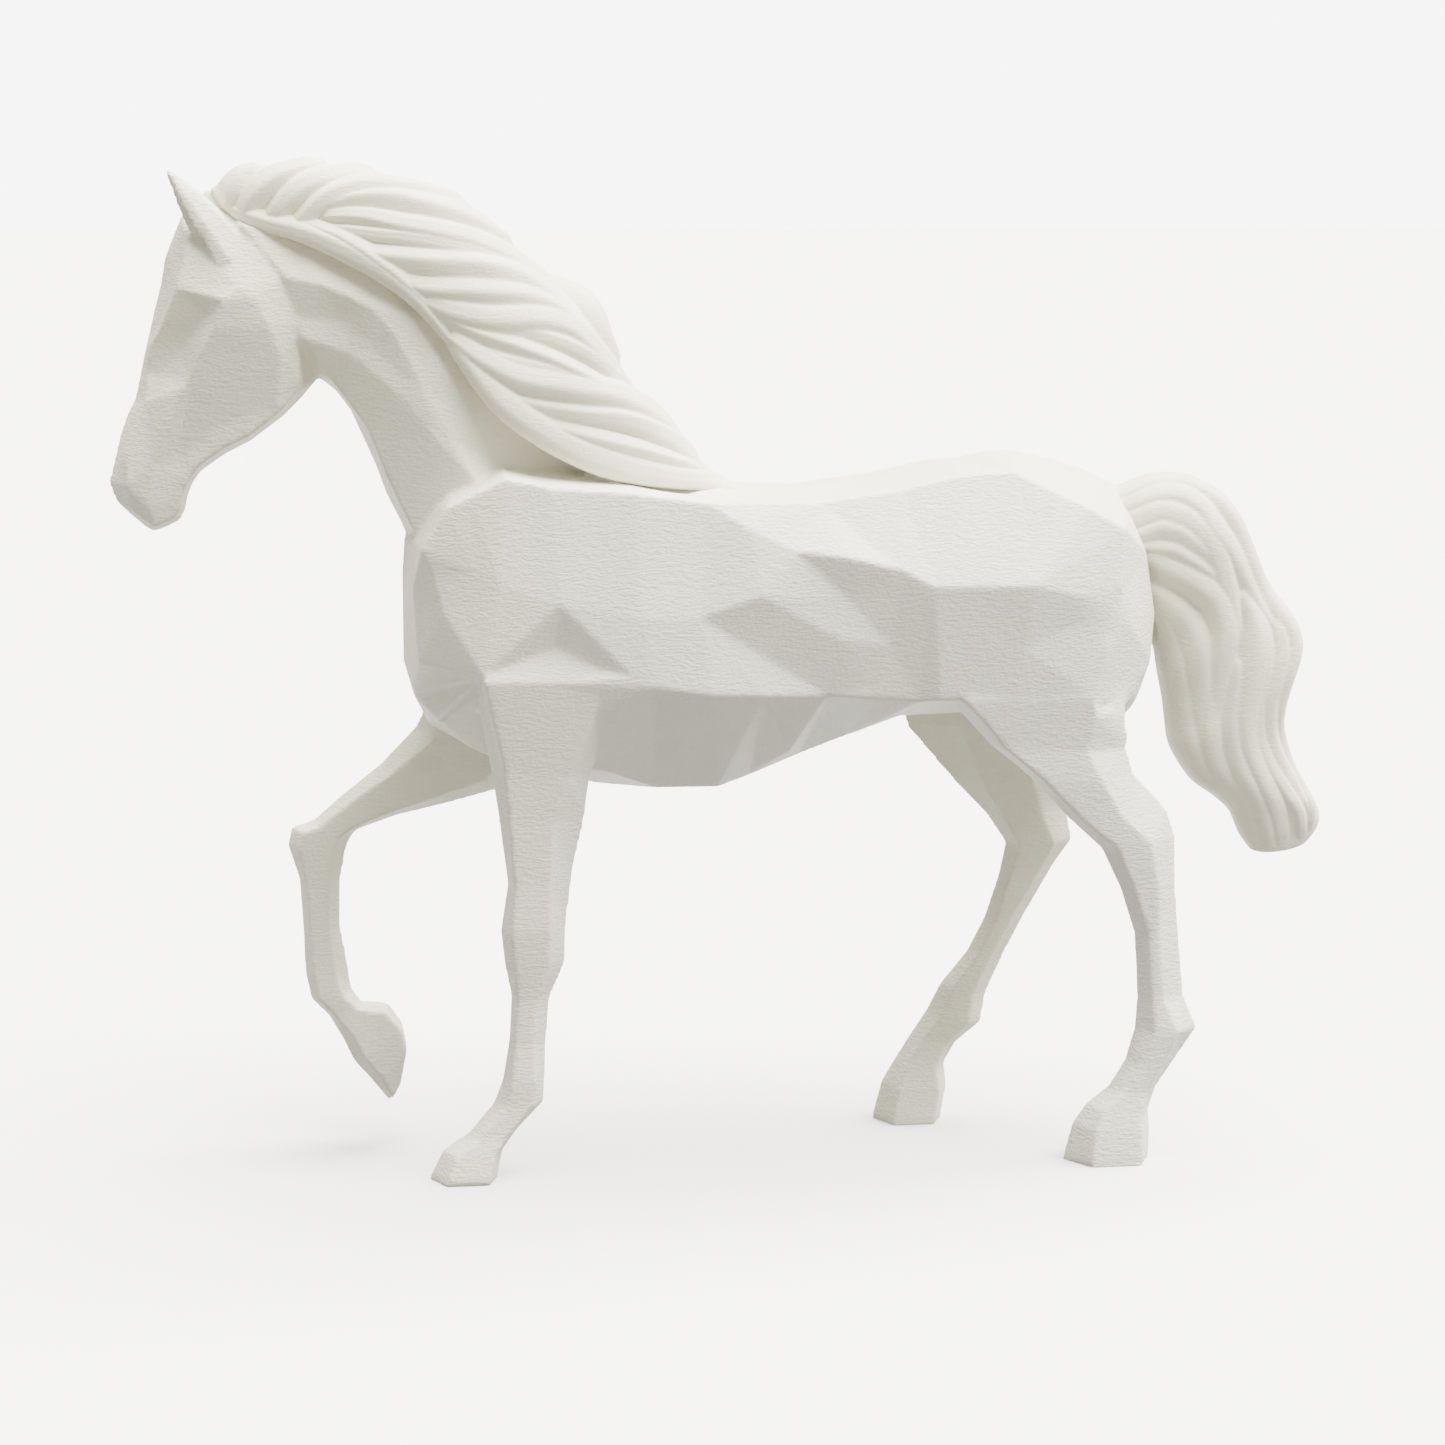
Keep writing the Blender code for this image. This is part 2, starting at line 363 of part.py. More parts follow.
def leg(name, stations, top_track, foot_track, standing, collection):
    """Eight-sided leg lofted through its stations, leaning out from body to foot."""
    bm = bmesh.new()
    rings = []
    for front_x, front_z, back_x, back_z, half, front_share, back_share in stations:
        front = Vector((front_x, 0, front_z))
        back = Vector((back_x, 0, back_z))
        side = [front.lerp(back, front_share), front.lerp(back, back_share)]
        out = Vector((0, half, 0))
        rings.append([front, side[0] - out, side[1] - out, back, side[1] + out, side[0] + out])
    loft(bm, rings)
    bmesh.ops.triangulate(bm, faces=bm.faces[:], quad_method="SHORT_EDGE")
    bmesh.ops.recalc_face_normals(bm, faces=bm.faces)
    if standing:
        cut_at_ground(bm)
    for vert in bm.verts:
        reach = min(max((leg_root - vert.co.z) / leg_root, 0.0), 1.0)
        vert.co.y += (top_track + (foot_track - top_track) * reach) / unit
    return place(name, bm, collection)


def along(points, position):
    """Point at a share of the way along a list of points, by a Catmull-Rom curve."""
    place = min(max(position, 0.0), 1.0) * (len(points) - 1)
    start = min(int(place), len(points) - 2)
    t = place - start
    four = [points[min(max(start + k, 0), len(points) - 1)] for k in (-1, 0, 1, 2)]
    p0, p1, p2, p3 = [Vector(p) if hasattr(p, "__len__") else Vector((p, 0)) for p in four]
    return 0.5 * (2 * p1 + (p2 - p0) * t + (2 * p0 - 5 * p1 + 4 * p2 - p3) * t ** 2
                  + (3 * p1 - p0 - 3 * p2 + p3) * t ** 3)


def mane_point(u, v, side, lift=0.0):
    """Point of the mane's surface: u runs down the neck, v from lower to upper edge."""
    low = along(mane_lower_edge, u)
    high = along(mane_upper_edge, u)
    flat = low.lerp(high, v)
    edge = along(mane_edge_widths, u).x * mane_half_width / unit
    fullness = math.sqrt(max(1.0 - v ** mane_fullness, 0.0))
    half = edge * (fullness * (1.0 - mane_thin_share) + mane_thin_share)
    half *= 1.0 - mane_lip_inset * max(1.0 - v / mane_lip, 0.0) ** 2
    return Vector((flat.x, side * (half + lift), flat.y))


def tail_point(u, v, side, lift=0.0):
    """Point of the tail's surface: u runs down the tail, v from inner to outer edge."""
    flat = along(tail_inner_edge, u).lerp(along(tail_outer_edge, u), v)
    half = along(tail_widths, u).x * tail_half_width / unit
    swell = math.sqrt(max(1.0 - (2.0 * v - 1.0) ** 2, 0.0))
    return Vector((flat.x, side * (half * swell + lift), flat.y))


def loft(bm, rings):
    """Skin a row of closed rings of equal count and cap both ends."""
    rows = [[bm.verts.new(point) for point in ring] for ring in rings]
    count = len(rows[0])
    for row, following in zip(rows, rows[1:]):
        for k in range(count):
            nxt = (k + 1) % count
            bm.faces.new((row[k], row[nxt], following[nxt], following[k]))
    bm.faces.new(list(reversed(rows[0])))
    bm.faces.new(rows[-1])


def hair_core(bm, surface, shares, stations=24):
    """The mass under the locks: rings across the hair, one for each station."""
    rings = []
    for i in range(stations + 1):
        u = i / stations
        near = [surface(u, v, -1) for v in shares]
        far = [surface(u, v, 1) for v in reversed(shares)]
        rings.append(near + far)
    loft(bm, rings)


def lock(bm, surface, side, u_start, u_end, v_start, v_end, width, ease, steps=14):
    """One tapered lock that lies on the hair's surface and follows a smooth sweep."""
    relief_height = lock_relief / unit
    path = []
    for i in range(steps + 1):
        t = i / steps
        u = u_start + (u_end - u_start) * t
        v = v_start + (v_end - v_start) * (1.0 - (1.0 - t) ** ease)
        path.append(surface(u, v, side))
    rings = []
    for i, point in enumerate(path):
        t = i / steps
        forward = (path[min(i + 1, steps)] - path[max(i - 1, 0)]).normalized()
        outward = Vector((0, side, 0))
        across = forward.cross(outward).normalized()
        outward = across.cross(forward).normalized()
        share = lock_root + (lock_end - lock_root) * t
        taper = max(math.sin(math.pi * share ** lock_swell), lock_root)
        half = 0.5 * width * taper
        rise = relief_height * taper
        ring = [point + across * (half * math.cos(a)) + outward * (rise * math.sin(a))
                for a in [math.tau * k / lock_sides for k in range(lock_sides)]]
        rings.append(ring)
    loft(bm, rings)


def hair(name, surface, shares, locks, ease, triangles, collection):
    """Core and locks blended into one closed carved mass."""
    bm = bmesh.new()
    hair_core(bm, surface, shares)
    for side in (-1, 1):
        for u_start, u_end, v_start, v_end, width in locks:
            lock(bm, surface, side, u_start, u_end, v_start, v_end, width, ease)
    obj = place(name, bm, collection)
    blend = obj.modifiers.new("blend", "REMESH")
    blend.mode = "VOXEL"
    blend.voxel_size = hair_voxel
    facets = obj.modifiers.new("facets", "DECIMATE")
    facets.ratio = triangles
    return obj


def ear(name, side, collection):
    """Pricked ear: a pointed leaf, ridged behind, whose hollow looks forwards."""
    base = Vector((ear_base[0], side * ear_base[1], ear_base[2]))
    tip = Vector((ear_tip[0], side * ear_tip[1], ear_tip[2]))
    axis = (tip - base).normalized()
    facing = Vector((-ear_facing[0], side * ear_facing[1], 0.0))
    facing = (facing - axis * facing.dot(axis)).normalized()
    outward = Vector((0.0, side, 0.0))
    outward = (outward - axis * outward.dot(axis) - facing * outward.dot(facing)).normalized()
    bm = bmesh.new()
    rings = []
    for share, half, depth in ear_stations:
        middle = base.lerp(tip, share)
        rings.append([middle + facing * (depth * ahead) + outward * (half * aside)
                      for ahead, aside in ear_section])
    loft(bm, rings)
    return place(name, bm, collection)


def white_resin():
    material = bpy.data.materials.new("white_cast_resin")
    material.use_nodes = True
    shader = material.node_tree.nodes["Principled BSDF"]
    shader.inputs["Base Color"].default_value = (0.80, 0.79, 0.76, 1.0)
    shader.inputs["Roughness"].default_value = 0.75
    shader.inputs["Metallic"].default_value = 0.0
    return material


def main():
    for obj in list(bpy.data.objects):
        bpy.data.objects.remove(obj)
    scene_collection = bpy.context.scene.collection
    sculpture = bpy.data.collections.new("horse_sculpture")
    masses = bpy.data.collections.new("masses")
    scene_collection.children.link(sculpture)
    scene_collection.children.link(masses)

    trunk = relief(trunk_outline, trunk_corners, trunk_creases, trunk_half_width / unit)
    neck = relief(neck_outline, neck_corners, neck_creases, neck_half_width / unit)
    head = relief(head_outline, head_corners, head_creases, head_half_width / unit)
    horse = place("horse", trunk, sculpture)
    horse.data.materials.append(white_resin())
    place("neck", neck, masses)
    place("head", head, masses)

    leg("near_fore", near_fore_stations, -elbow_track, -near_fore_track, True, masses)
    leg("near_hind", near_hind_stations, -hip_track, -near_hind_track, True, masses)
    leg("far_hind", far_hind_stations, hip_track, far_hind_track, True, masses)
    leg("far_fore", far_fore_stations, elbow_track, far_fore_track, False, masses)

    for side, name in ((-1, "near_ear"), (1, "far_ear")):
        ear(name, side, masses)
    hair("mane", mane_point, mane_rows, mane_locks, mane_sweep, mane_facets, masses)
    hair("tail", tail_point, tail_rows, tail_locks, 1.0, tail_facets, masses)

    for mass in masses.objects:
        mass.hide_render = True
        mass.display_type = "WIRE"
    join = horse.modifiers.new("join", "BOOLEAN")
    join.operation = "UNION"
    join.solver = "EXACT"
    join.operand_type = "COLLECTION"
    join.collection = masses


main()
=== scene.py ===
import math

import bmesh
import bpy
import numpy as np
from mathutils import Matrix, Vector


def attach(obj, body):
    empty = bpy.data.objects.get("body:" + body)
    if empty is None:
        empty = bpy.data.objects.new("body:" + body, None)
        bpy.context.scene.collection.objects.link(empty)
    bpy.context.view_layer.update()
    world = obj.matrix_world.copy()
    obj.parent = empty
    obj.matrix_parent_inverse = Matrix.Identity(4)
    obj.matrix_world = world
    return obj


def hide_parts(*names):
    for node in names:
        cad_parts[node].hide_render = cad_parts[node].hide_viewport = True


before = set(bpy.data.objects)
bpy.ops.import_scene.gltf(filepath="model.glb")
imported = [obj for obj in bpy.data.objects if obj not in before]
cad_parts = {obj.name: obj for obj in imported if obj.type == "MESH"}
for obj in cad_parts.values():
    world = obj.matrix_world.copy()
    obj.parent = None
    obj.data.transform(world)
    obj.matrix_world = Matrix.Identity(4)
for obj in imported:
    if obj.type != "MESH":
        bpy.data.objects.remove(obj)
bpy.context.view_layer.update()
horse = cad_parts["horse"]
print("frame loaded")

mm = 0.001


def linear(hexColour):
    # an sRGB hex colour as linear red, green, blue and alpha
    channels = [int(hexColour[i:i + 2], 16) / 255.0 for i in (1, 3, 5)]
    return [c / 12.92 if c <= 0.04045 else ((c + 0.055) / 1.055) ** 2.4 for c in channels] + [1.0]


def addNode(tree, kind, settings=None, inputs=None):
    node = tree.nodes.new(kind)
    for key, value in (settings or {}).items():
        setattr(node, key, value)
    for key, value in (inputs or {}).items():
        if isinstance(value, bpy.types.NodeSocket):
            tree.links.new(value, node.inputs[key])
        else:
            node.inputs[key].default_value = value
    return node


def newMaterial(name):
    material = bpy.data.materials.new(name)
    material.use_nodes = True
    return material, material.node_tree, material.node_tree.nodes["Principled BSDF"]


# what both finishes of the resin share; lengths in mm
resin = {
    "ior": 1.5, "specular": 0.35, "roughnessSpread": 0.06,
    "cloudDetail": 3.0, "cloudRoughness": 0.55, "swayDetail": 2.0, "poreDetail": 2.0,
    "streakDetail": 3.0, "streakRoughness": 0.6, "streakLow": 0.3, "streakHigh": 0.7,
    # where the painted warm shade starts and where it is full, towards the head and towards the
    # far side
    "headwardFrom": -30.0, "headwardTo": -75.0, "farwardFrom": 2.0, "farwardTo": 14.0,
}


def grainedResin(name, look):
    material, tree, shader = newMaterial(name)
    place = addNode(tree, "ShaderNodeTexCoord").outputs["Object"]
    # broad drift of tone, as thick and thin places of a casting show
    cloud = addNode(tree, "ShaderNodeTexNoise", {}, {
        "Vector": place, "Scale": 1.0 / (look["cloudSize"] * mm),
        "Detail": resin["cloudDetail"], "Roughness": resin["cloudRoughness"]})
    # fine level streaks, wavy because a slow noise moves their height
    sway = addNode(tree, "ShaderNodeTexNoise", {}, {
        "Vector": place, "Scale": 1.0 / (look["swaySize"] * mm),
        "Detail": resin["swayDetail"]})
    swayed = addNode(tree, "ShaderNodeVectorMath", {"operation": "MULTIPLY_ADD"}, {
        0: sway.outputs["Color"], 1: (0.0, 0.0, look["swayHeight"] * mm), 2: place})
    streakPlace = addNode(tree, "ShaderNodeVectorMath", {"operation": "MULTIPLY"}, {
        0: swayed.outputs["Vector"],
        1: (1.0 / (look["streakLength"] * mm), 1.0 / (look["streakLength"] * mm),
            1.0 / (look["streakHeight"] * mm))})
    streaks = addNode(tree, "ShaderNodeTexNoise", {}, {
        "Vector": streakPlace.outputs["Vector"], "Scale": 1.0,
        "Detail": resin["streakDetail"], "Roughness": resin["streakRoughness"]})
    pores = addNode(tree, "ShaderNodeTexNoise", {}, {
        "Vector": place, "Scale": 1.0 / (look["poreSize"] * mm),
        "Detail": resin["poreDetail"]})
    # painted warm shade: the colour turns creamier towards the head and on the far side, standing
    # in for the warm shade that falls there
    sides = addNode(tree, "ShaderNodeSeparateXYZ", {}, {"Vector": place})
    headward = addNode(tree, "ShaderNodeMapRange", {}, {
        "Value": sides.outputs["X"], "From Min": resin["headwardFrom"] * mm,
        "From Max": resin["headwardTo"] * mm})
    farward = addNode(tree, "ShaderNodeMapRange", {}, {
        "Value": sides.outputs["Y"], "From Min": resin["farwardFrom"] * mm,
        "From Max": resin["farwardTo"] * mm})
    paintedWarmShade = addNode(tree, "ShaderNodeMath", {"operation": "MAXIMUM"}, {
        0: headward.outputs["Result"], 1: farward.outputs["Result"]})
    clouded = addNode(tree, "ShaderNodeMix", {"data_type": "RGBA"}, {
        0: cloud.outputs["Fac"], 6: linear(look["shade"]), 7: linear(look["light"])})
    colour = addNode(tree, "ShaderNodeMix", {"data_type": "RGBA"}, {
        0: paintedWarmShade.outputs["Value"], 6: clouded.outputs[2], 7: linear(look["paintedWarmShade"])})
    toned = addNode(tree, "ShaderNodeMix", {"data_type": "RGBA", "blend_type": "MULTIPLY"}, {
        0: look["streakTone"], 6: colour.outputs[2], 7: streaks.outputs["Color"]})
    roughness = addNode(tree, "ShaderNodeMapRange", {}, {
        "Value": streaks.outputs["Fac"],
        "From Min": resin["streakLow"], "From Max": resin["streakHigh"],
        "To Min": look["roughness"] - resin["roughnessSpread"],
        "To Max": look["roughness"] + resin["roughnessSpread"]})
    streakBump = addNode(tree, "ShaderNodeBump", {}, {
        "Height": streaks.outputs["Fac"], "Strength": 1.0, "Distance": look["streakDepth"] * mm})
    poreBump = addNode(tree, "ShaderNodeBump", {}, {
        "Height": pores.outputs["Fac"], "Strength": 1.0, "Distance": look["poreDepth"] * mm,
        "Normal": streakBump.outputs["Normal"]})
    tree.links.new(toned.outputs[2], shader.inputs["Base Color"])
    tree.links.new(roughness.outputs["Result"], shader.inputs["Roughness"])
    tree.links.new(poreBump.outputs["Normal"], shader.inputs["Normal"])
    shader.inputs["IOR"].default_value = resin["ior"]
    shader.inputs["Specular IOR Level"].default_value = resin["specular"]
    return material


def triangleCount(mesh):
    return sum(len(polygon.vertices) - 2 for polygon in mesh.polygons)


def newObject(name, mesh, material):
    mesh.materials.clear()
    mesh.materials.append(material)
    obj = bpy.data.objects.new(name, mesh)
    bpy.context.scene.collection.objects.link(obj)
    return obj


def settled(name, bm, modifiers):
    # a scratch object's modifiers are worked out and only the finished mesh is kept
    mesh = bpy.data.meshes.new(name)
    bm.to_mesh(mesh)
    bm.free()
    scratch = bpy.data.objects.new(name, mesh)
    bpy.context.scene.collection.objects.link(scratch)
    for kind, settings in modifiers:
        modifier = scratch.modifiers.new(kind.lower(), kind)
        for key, value in settings.items():
            setattr(modifier, key, value)
    depsgraph = bpy.context.evaluated_depsgraph_get()
    result = bpy.data.meshes.new_from_object(scratch.evaluated_get(depsgraph))
    bpy.data.objects.remove(scratch)
    bpy.data.meshes.remove(mesh)
    result.name = name
    return result


def curve(points, shares):
    # points at shares of the way along a list, on a smooth curve through them
    p = np.asarray(points, float)
    place = np.clip(shares, 0.0, 1.0) * (len(p) - 1)
    start = np.minimum(place.astype(int), len(p) - 2)
    t = (place - start)[:, None]
    p0, p1, p2, p3 = [p[np.clip(start + k, 0, len(p) - 1)] for k in (-1, 0, 1, 2)]
    return 0.5 * (2 * p1 + (p2 - p0) * t + (2 * p0 - 5 * p1 + 4 * p2 - p3) * t ** 2
                  + (3 * p1 - p0 - 3 * p2 + p3) * t ** 3)


# how both carved pieces are worked, whatever their shape; weld and fullWidth are in mm, and the
# two turns make neighbouring locks differ
carve = {
    "sectionSteps": 120, "lipInset": 0.14, "lipCarving": 0.25, "underside": 0.15,
    "endClosed": 0.998, "endFade": 0.4, "slimRib": 3.0, "weld": 0.01,
    "routeSteps": 36, "fullWidth": 2.8, "endLift": 0.2, "swell": 0.9,
    "shiftTurn": 1.3, "strandTurn": 1.7,
}
farAway = 1e9
tiny = 1e-9


def halfSection(hair):
    # half a cut across the hair, from the upper edge round to the middle below: the share of
    # the way up, the share of the half width, and how much of the carving shows there
    lip, steps = hair["lip"], carve["sectionSteps"]
    if lip:
        # the mane turns in at a rounded lip and is flat below
        inset, least = carve["lipInset"], carve["lipCarving"]
        turn = np.linspace(0.0, math.pi / 2, steps)
        up = np.concatenate([lip + (1 - lip) * np.cos(turn), lip * (1 - np.sin(turn)), [0.0]])
        out = np.concatenate([np.sin(turn) ** hair["fullness"],
                              1 - inset + inset * np.cos(turn), [0.0]])
        carved = np.concatenate([np.ones(steps), least + (1 - least) * np.cos(turn), [0.0]])
    else:
        turn = np.linspace(0.0, math.pi, 2 * steps)
        up = 0.5 + 0.5 * np.cos(turn)
        out = np.sin(turn) ** hair["fullness"]
        carved = np.ones(2 * steps)
    lengths = np.hypot(np.diff(up) * hair["height"], np.diff(out) * hair["halfWidth"])
    if lip:
        # the flat underside is hidden and needs few faces
        lengths[-1] *= carve["underside"]
    distance = np.concatenate([[0.0], np.cumsum(lengths)])
    return distance / distance[-1], up, out, carved


def hairShell(hair, u, r):
    # the smooth mass: u runs along the hair and r runs once around it
    place, up, out, carved = halfSection(hair)
    r = np.mod(r, 1.0)
    side = np.where(r < 0.5, -1.0, 1.0)
    q = 1.0 - np.abs(2.0 * r - 1.0)
    up, out, carved = [np.interp(q, place, values) for values in (up, out, carved)]
    rib = curve(hair["ribs"], u)
    fromEnd = np.minimum(u, 1.0 - u) / hair["endShare"]
    end = np.sqrt(1.0 - np.clip(1.0 - fromEnd, 0.0, carve["endClosed"]) ** 2)
    height = np.hypot(rib[:, 2] - rib[:, 0], rib[:, 3] - rib[:, 1])
    slim = np.clip(height / hair["height"] * carve["slimRib"], 0.0, 1.0)
    carved = carved * np.clip(carve["endFade"] * fromEnd, 0.0, 1.0) * slim
    up = 0.5 + (up - 0.5) * end
    x = rib[:, 0] + (rib[:, 2] - rib[:, 0]) * up
    z = rib[:, 1] + (rib[:, 3] - rib[:, 1]) * up
    return np.stack([x, side * rib[:, 4] * out * end, z], axis=1), side * out, carved


def carving(hair, x, z, away):
    # height of the carved locks over the mass; each is a rounded ridge that tapers, with finer
    # strands along it, and neighbours meet in a valley
    height = np.zeros(len(x))
    steps = carve["routeSteps"]
    far = np.clip(away, 0.0, 1.0)
    for index, (width, route) in enumerate(hair["locks"]):
        path = curve(route, np.linspace(0.0, 1.0, steps + 1))
        atX = x + far * hair["farShift"] * math.sin(carve["shiftTurn"] * index)
        atZ = z + far * hair["farShift"]
        nearest = np.full(len(x), farAway)
        share = np.zeros(len(x))
        aside = np.zeros(len(x))
        for k in range(steps):
            start, run = path[k], path[k + 1] - path[k]
            t = ((atX - start[0]) * run[0] + (atZ - start[1]) * run[1]) / (run @ run)
            t = np.clip(t, 0.0, 1.0)
            offX, offZ = atX - start[0] - t * run[0], atZ - start[1] - t * run[1]
            distance = np.hypot(offX, offZ)
            closer = distance < nearest
            nearest = np.where(closer, distance, nearest)
            share = np.where(closer, (k + t) / steps, share)
            aside = np.where(closer, np.sign(run[0] * offZ - run[1] * offX), aside)
        swell = np.sin(math.pi * share ** carve["swell"])
        taper = hair["taperLeast"] + (1.0 - hair["taperLeast"]) * swell
        reach = np.clip(nearest / (hair["widen"] * width * taper), 0.0, 1.0)
        ridge = (1.0 - reach ** 2) ** hair["roundness"]
        strands = np.cos(hair["strands"] * math.pi * reach * aside + carve["strandTurn"] * index)
        fuller = np.sqrt(np.clip(swell, 0.0, 1.0))
        lift = hair["rise"] * (width / carve["fullWidth"]) ** 0.5 * (
            carve["endLift"] + (1.0 - carve["endLift"]) * fuller)
        height = np.maximum(height, ridge * (lift + hair["strandDepth"] * strands))
    return height


def hairPiece(name, hair, material):
    # a flat grid is wrapped round the mass, its long edges are welded and its ends filled
    bm = bmesh.new()
    bmesh.ops.create_grid(bm, x_segments=hair["meshAlong"], y_segments=hair["meshAround"], size=1)
    flat = np.array([vert.co[:2] for vert in bm.verts])
    u, r = ((flat - flat.min(axis=0)) / np.ptp(flat, axis=0)).T
    shell, away, carved = hairShell(hair, u, r)
    du, dr = 1.0 / hair["meshAlong"], 1.0 / hair["meshAround"]
    alongHair = hairShell(hair, u + du, r)[0] - hairShell(hair, u - du, r)[0]
    aroundHair = hairShell(hair, u, r + dr)[0] - hairShell(hair, u, r - dr)[0]
    normal = np.cross(aroundHair, alongHair)
    normal /= np.linalg.norm(normal, axis=1)[:, None] + tiny
    if (normal[:, 1] * away).sum() < 0:
        normal = -normal
    height = carving(hair, shell[:, 0], shell[:, 2], away) - hair["sink"]
    points = shell + normal * (height * carved)[:, None]
    for vert, point in zip(bm.verts, points):
        vert.co = point * mm
    bmesh.ops.remove_doubles(bm, verts=bm.verts, dist=carve["weld"] * mm)
    rims = [edge for edge in bm.edges if edge.is_boundary]
    bmesh.ops.edgeloop_fill(bm, edges=rims)
    bmesh.ops.recalc_face_normals(bm, faces=bm.faces)
    for face in bm.faces:
        face.smooth = True
    mesh = bpy.data.meshes.new(name)
    bm.to_mesh(mesh)
    bm.free()
    print(name, "triangles", triangleCount(mesh))
    return newObject(name, mesh, material)


# white cast resin of the body: ivory and matt, with short level streaks half a mm apart that
# give it a felted look; lengths in mm
bodyLook = {
    # the creamy tint is painted warm shade, mixed in towards the head and on the far side
    "light": "#E7E6DE", "shade": "#E1E0D7", "paintedWarmShade": "#E8E4D4", "cloudSize": 45.0,
    "swaySize": 6.0, "swayHeight": 2.2, "streakLength": 1.9, "streakHeight": 0.5,
    "streakTone": 0.08, "streakDepth": 0.24, "poreSize": 0.8, "poreDepth": 0.12,
    "roughness": 0.62,
}
# the same resin on the carved hair, where it is smoother and a little creamier
hairLook = {
    # the creamy tint is painted warm shade, mixed in towards the head and on the far side
    "light": "#EAE6D8", "shade": "#E3DDCB", "paintedWarmShade": "#EAE5D3", "cloudSize": 30.0,
    "swaySize": 6.0, "swayHeight": 2.2, "streakLength": 1.9, "streakHeight": 0.5,
    "streakTone": 0.05, "streakDepth": 0.13, "poreSize": 0.8, "poreDepth": 0.06,
    "roughness": 0.58,
}
bodyResin = grainedResin("whiteCastResin", bodyLook)
hairResin = grainedResin("carvedResin", hairLook)

